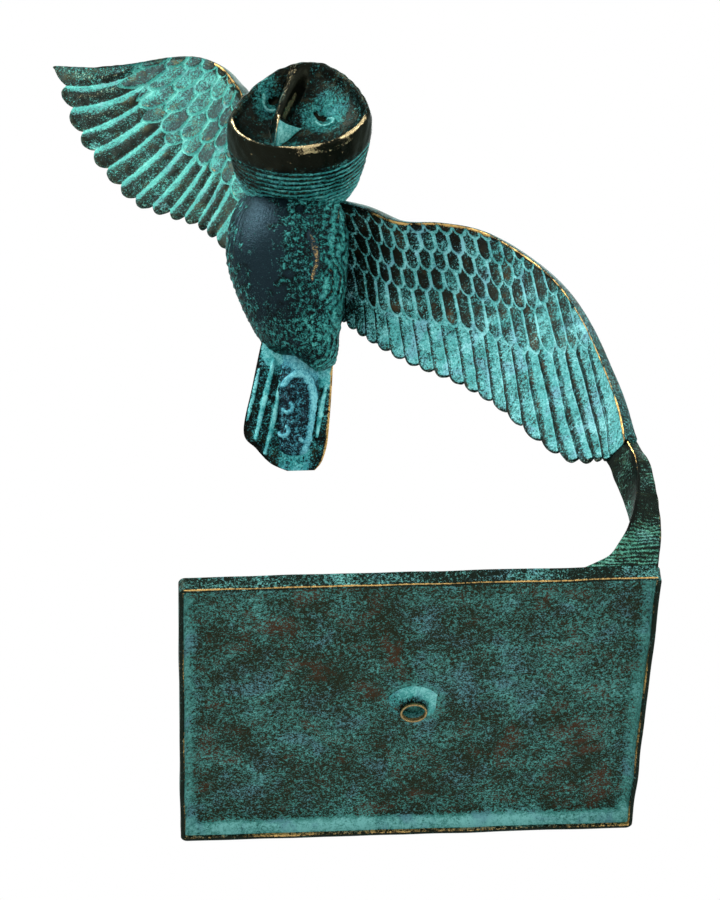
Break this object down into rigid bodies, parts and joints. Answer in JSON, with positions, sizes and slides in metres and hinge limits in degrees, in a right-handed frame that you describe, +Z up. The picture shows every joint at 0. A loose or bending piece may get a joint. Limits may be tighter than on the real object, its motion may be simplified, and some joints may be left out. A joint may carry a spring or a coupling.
{
  "type": "owl figurine",
  "caption": "Cast bronze owl in flight, carried by one wing tip on a rectangular tray base with a threaded-rod boss underneath.",
  "frame": {"origin": "centre of the boss's mouth under the base, in the plane of the rim that the base rests on", "axes": "+Z up from the rim to the raised wing, the owl faces -Y, and +X runs along the base towards the strut"},
  "size_m": [0.2547, 0.1681, 0.4594],
  "materials": {
    "tray_patina": "mottled verdigris over dark bronze",
    "boss_patina": "verdigris with a worn brass mouth",
    "strut_patina": "dark bronze with worn brass edges",
    "feather_patina": "verdigris in the grooves, bronze on the feathers",
    "body_patina": "polished dark bronze with speckled verdigris",
    "head_patina": "dark bronze with a worn brass rim",
    "tail_patina": "verdigris in the grooves"
  },
  "bodies": {
    "root": {"base_tray": "tray_patina", "mount_boss": "boss_patina", "support_strut": "strut_patina", "low_wing": "feather_patina", "high_wing": "feather_patina", "torso": "body_patina", "head": "head_patina", "tail": "tail_patina", "tucked_legs": "tail_patina"}
  },
  "joints": []
}
